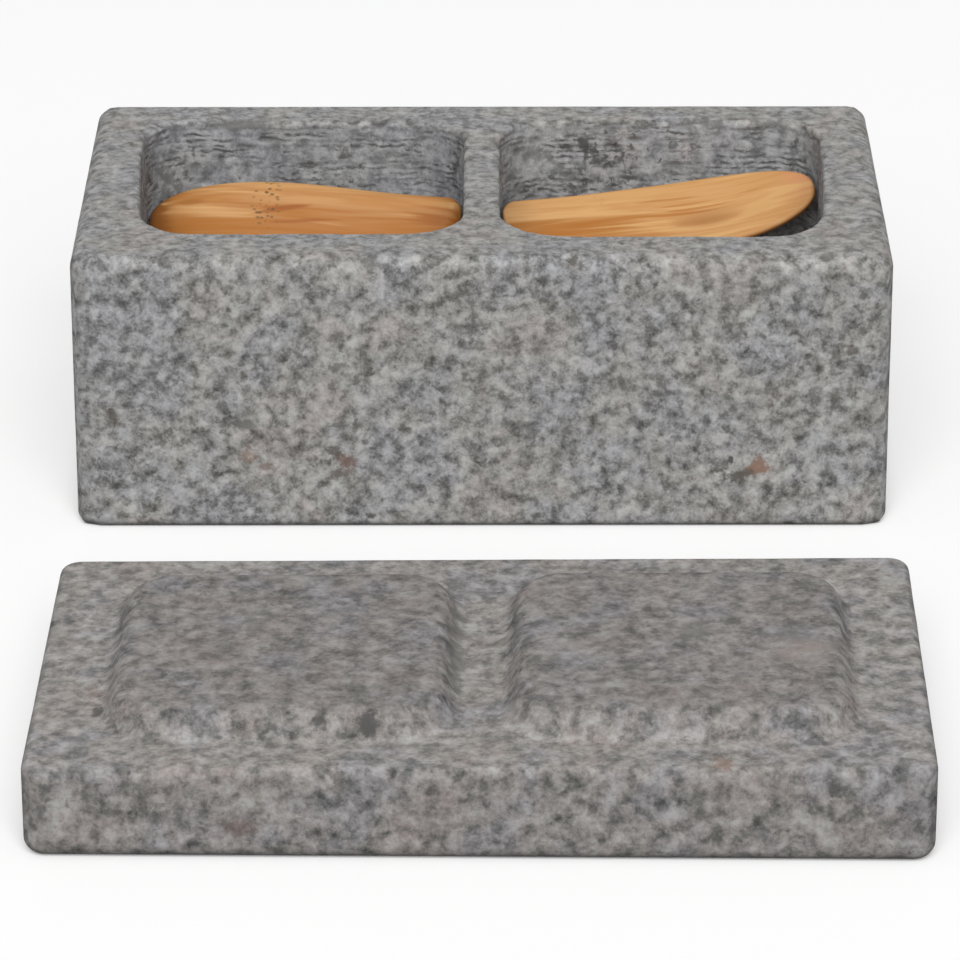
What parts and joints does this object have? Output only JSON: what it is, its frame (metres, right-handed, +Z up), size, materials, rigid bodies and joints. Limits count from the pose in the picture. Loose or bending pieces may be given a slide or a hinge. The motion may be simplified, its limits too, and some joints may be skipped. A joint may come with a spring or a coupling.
{
  "type": "salt and pepper pinch pot",
  "caption": "Low stone box with side-by-side open pockets, a loose stone lid with locating bosses lying upside down in front, and a small bamboo spoon leaning in each pocket.",
  "frame": {"origin": "centre of the stone box's flat underside", "axes": "+X along the long side of the box to the viewer's right, +Y from the loose lid in front towards the back of the box, +Z up"},
  "size_m": [0.16, 0.2321, 0.057],
  "materials": {
    "body_stone": "honed matte, mottled grey",
    "lid_stone": "honed matte, mottled warm grey",
    "bamboo": "sanded and oiled"
  },
  "bodies": {
    "body": {"stone_body": "body_stone"},
    "lid": {"stone_lid": "lid_stone"},
    "left_spoon": {"spoon_left": "bamboo"},
    "right_spoon": {"spoon_right": "bamboo"}
  },
  "joints": [
    {"name": "lid_lift", "type": "slide", "parent": "body", "child": "lid", "axis": [0, 0, 1], "range_m": [0, 0.07]},
    {"name": "left_spoon_lift", "type": "slide", "parent": "body", "child": "left_spoon", "axis": [0, 0, 1], "range_m": [0, 0.04]},
    {"name": "right_spoon_lift", "type": "slide", "parent": "body", "child": "right_spoon", "axis": [0, 0, 1], "range_m": [0, 0.04]}
  ]
}
